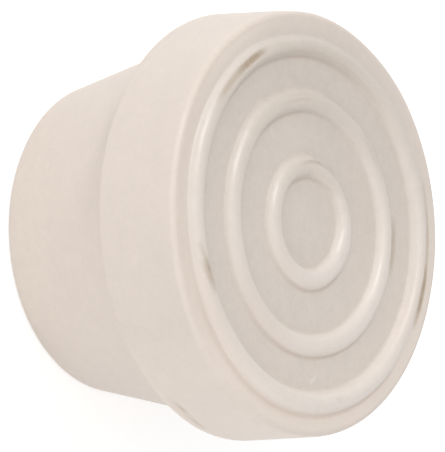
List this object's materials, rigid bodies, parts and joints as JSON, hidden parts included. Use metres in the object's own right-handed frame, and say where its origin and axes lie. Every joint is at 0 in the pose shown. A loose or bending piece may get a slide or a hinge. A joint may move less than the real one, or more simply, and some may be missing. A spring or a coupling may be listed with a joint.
{
  "type": "ladder rubber bumper",
  "caption": "Tapered rubber cup with a thick round head and raised concentric rings on its flat face, pushed over the end of a ladder tube to keep it off the wall.",
  "frame": {"origin": "centre of the open mouth, in the plane of its rim, on which the bumper stands", "axes": "+Z along the axis, from the open mouth out through the ringed face; X and Y are any two directions across it, because the bumper is round"},
  "size_m": [0.077, 0.077, 0.0481],
  "materials": {
    "rubber": "satin"
  },
  "bodies": {
    "root": {"rubber_bumper": "rubber"}
  },
  "joints": []
}
